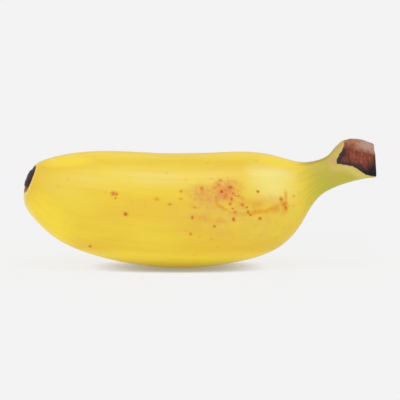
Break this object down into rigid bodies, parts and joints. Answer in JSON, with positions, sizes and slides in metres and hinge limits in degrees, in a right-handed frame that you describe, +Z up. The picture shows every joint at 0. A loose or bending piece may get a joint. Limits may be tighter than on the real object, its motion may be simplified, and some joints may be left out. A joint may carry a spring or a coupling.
{
  "type": "baby banana",
  "caption": "Ripe baby banana to eat or set out: plump yellow body with soft ridges, short green neck, trimmed brown crown stub and a dark blossom scar.",
  "frame": {"origin": "middle of the flat spot on the belly that the fruit rests on", "axes": "+X along the fruit towards the stem end, +Y across it towards its back, +Z up from the table"},
  "size_m": [0.102, 0.0318, 0.0367],
  "materials": {
    "peel": "satin banana peel"
  },
  "bodies": {
    "root": {"banana": "peel"}
  },
  "joints": []
}
